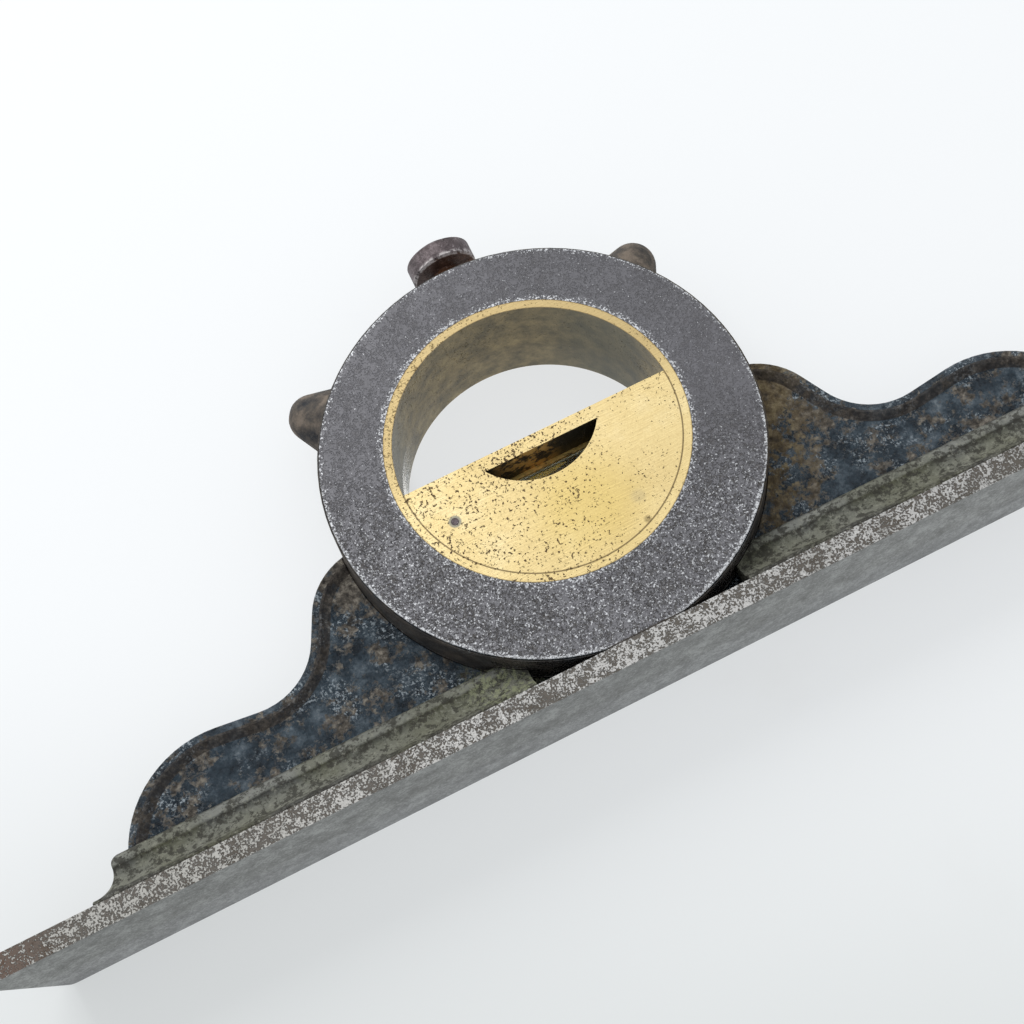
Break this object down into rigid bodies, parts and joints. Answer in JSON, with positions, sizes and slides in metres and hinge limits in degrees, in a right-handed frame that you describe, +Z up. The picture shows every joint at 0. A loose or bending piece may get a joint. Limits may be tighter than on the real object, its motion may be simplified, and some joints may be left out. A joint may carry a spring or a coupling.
{
  "type": "inclinometer",
  "caption": "Long flat-soled frame with two scroll webs and a heavy ring; a drum with a bubble vial turns in the ring and is locked by a thumb screw on top.",
  "frame": {"origin": "centre of the sole, on the surface it stands on, midway between the faces", "axes": "+X along the sole to the right of the face that is read, +Z up, the read face towards -Y"},
  "size_m": [0.235, 0.022, 0.09],
  "materials": {
    "japanned_iron": "ground bright on the sole and the side edges, worn dark japan elsewhere, pitted",
    "screw_steel": "browned steel, bright where worn",
    "drum_brass": "turned and filed, pitted and dull",
    "plaster": "rough white plaster",
    "vial_glass": "clear, smooth",
    "vial_spirit": "clear amber liquid"
  },
  "bodies": {
    "frame": {"frame_casting": "japanned_iron", "guide_screw_left": "screw_steel", "guide_screw_right": "screw_steel"},
    "drum": {"drum_ring": "drum_brass", "vial_block": "drum_brass", "block_screw_left": "drum_brass", "block_screw_right": "drum_brass", "vial_sleeve": "drum_brass", "sleeve_plug_left": "drum_brass", "sleeve_plug_right": "drum_brass", "plaster_seat_left": "plaster", "plaster_seat_right": "plaster", "vial_glass": "vial_glass", "vial_spirit": "vial_spirit", "plug_pin": "screw_steel"},
    "pad": {"thrust_pad": "drum_brass"},
    "thumb_screw": {"lock_screw": "screw_steel"}
  },
  "joints": [
    {"name": "drum_turn", "type": "hinge", "parent": "frame", "child": "drum", "pos_m": [0, 0, 0.04295], "axis": [0, 1, 0], "continuous": true},
    {"name": "lock_travel", "type": "slide", "parent": "frame", "child": "pad", "axis": [0.0349, 0, 0.9994], "range_m": [0, 0.00159]},
    {"name": "lock_turn", "type": "hinge", "parent": "pad", "child": "thumb_screw", "pos_m": [0, 0, 0.04295], "axis": [0.0349, 0, 0.9994], "range_deg": [0, 540]}
  ],
  "couplings": [
    {"joint": "lock_turn", "follows": "lock_travel", "rad_per_m": 5927.5}
  ]
}
